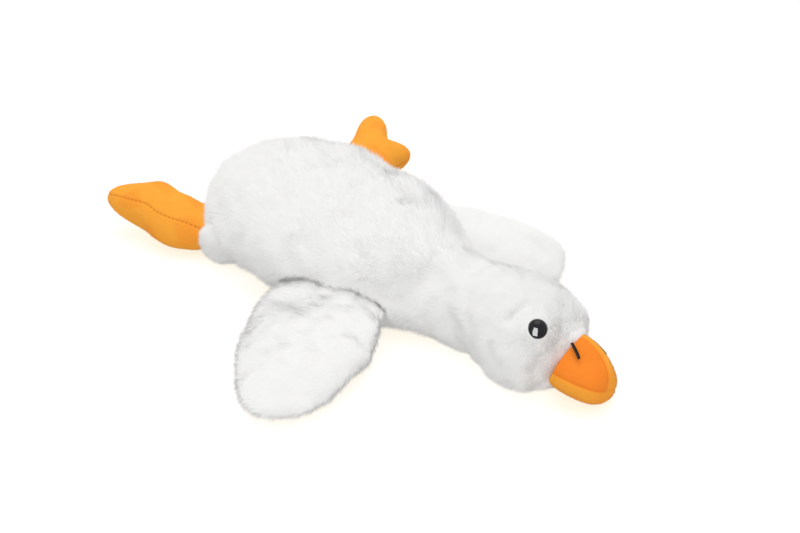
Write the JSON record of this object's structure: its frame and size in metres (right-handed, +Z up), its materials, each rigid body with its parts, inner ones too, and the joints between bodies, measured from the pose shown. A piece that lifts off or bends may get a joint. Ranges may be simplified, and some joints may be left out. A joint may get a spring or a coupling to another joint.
{
  "type": "plush goose pillow",
  "caption": "Plush goose pillow lying on its belly, neck stretched out, flat stuffed wings spread, padded orange webbed feet and bill.",
  "frame": {"origin": "on the resting plane, under the middle of the torso", "axes": "+X towards the head, +Y towards the goose's left, +Z up"},
  "size_m": [0.4797, 0.3639, 0.0854],
  "materials": {
    "white_fur": "short soft pile, matt",
    "orange_plush": "short brushed plush, matt",
    "black_plastic": "polished",
    "black_thread": "satin stitch"
  },
  "bodies": {
    "root": {"body": "white_fur", "right_wing": "white_fur", "left_wing": "white_fur", "right_thigh": "white_fur", "left_thigh": "white_fur", "right_foot": "orange_plush", "left_foot": "orange_plush", "bill": "orange_plush", "right_eye": "black_plastic", "left_eye": "black_plastic", "right_nostril": "black_thread", "left_nostril": "black_thread"}
  },
  "joints": []
}
